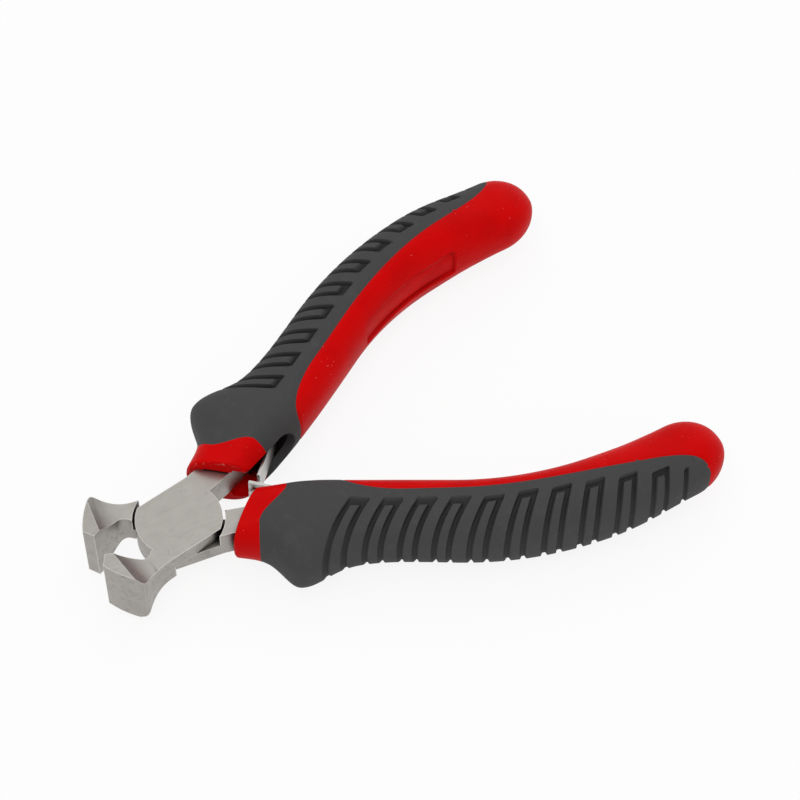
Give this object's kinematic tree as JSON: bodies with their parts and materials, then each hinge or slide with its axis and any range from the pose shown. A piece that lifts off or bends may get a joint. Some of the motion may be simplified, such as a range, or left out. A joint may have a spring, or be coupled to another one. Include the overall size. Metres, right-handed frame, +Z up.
{
  "type": "end cutting nippers",
  "caption": "Small lap-jointed end cutting nippers with flared front jaws, leaf-sprung opening and ribbed two-colour handles.",
  "frame": {"origin": "on the pivot axis at the underside of the lap joint", "axes": "+Z up along the pivot axis, +X along the tool towards the handles, jaws at -X"},
  "size_m": [0.1154, 0.0828, 0.0178],
  "materials": {
    "forged_steel": "satin ground tool steel",
    "rivet_steel": "satin, ground flush",
    "spring_steel": "bright rolled strip",
    "sleeve": "satin moulded plastic",
    "grip": "matte soft grip"
  },
  "bodies": {
    "lower_arm": {"lower_half": "forged_steel", "pivot_rivet": "rivet_steel", "lower_sleeve": "sleeve", "lower_grip": "grip", "lower_spring": "spring_steel", "lower_spring_rivet": "rivet_steel"},
    "upper_arm": {"upper_half": "forged_steel", "upper_sleeve": "sleeve", "upper_grip": "grip", "upper_spring": "spring_steel", "upper_spring_rivet": "rivet_steel"}
  },
  "joints": [
    {"name": "handle_pivot", "type": "hinge", "parent": "lower_arm", "child": "upper_arm", "pos_m": [0, 0, 0.0031], "axis": [0, 0, 1], "range_deg": [-15.4, 6], "stiffness_Nm_per_rad": 1.2, "deforming": ["upper_spring", "lower_spring"]}
  ]
}
